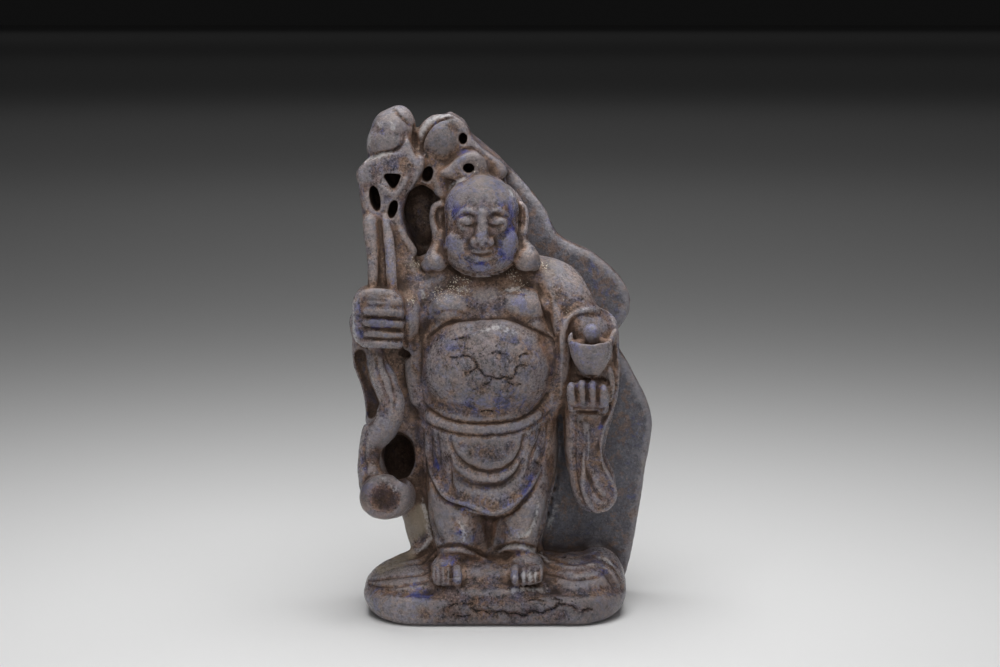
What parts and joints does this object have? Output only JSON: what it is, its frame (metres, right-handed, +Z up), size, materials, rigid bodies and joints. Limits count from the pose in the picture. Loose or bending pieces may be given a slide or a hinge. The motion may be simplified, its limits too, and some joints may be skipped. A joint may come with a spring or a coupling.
{
  "type": "budai figure",
  "caption": "Standing bare-bellied monk carved in the round from one block of stone, with a gnarled peach branch, a held ingot, a flat backing slab and a low rounded plinth.",
  "frame": {"origin": "on the ground, below the middle of the carving's box", "axes": "+Z up, -Y out of the front of the figure, +X towards the hand with the ingot (right in a front view)"},
  "size_m": [0.1762, 0.088, 0.2979],
  "materials": {
    "carved_stone": "softly polished grey-brown stone with blue patches, rust stain in the hollows, pits and black cracks"
  },
  "bodies": {
    "root": {"budai_carving": "carved_stone"}
  },
  "joints": []
}
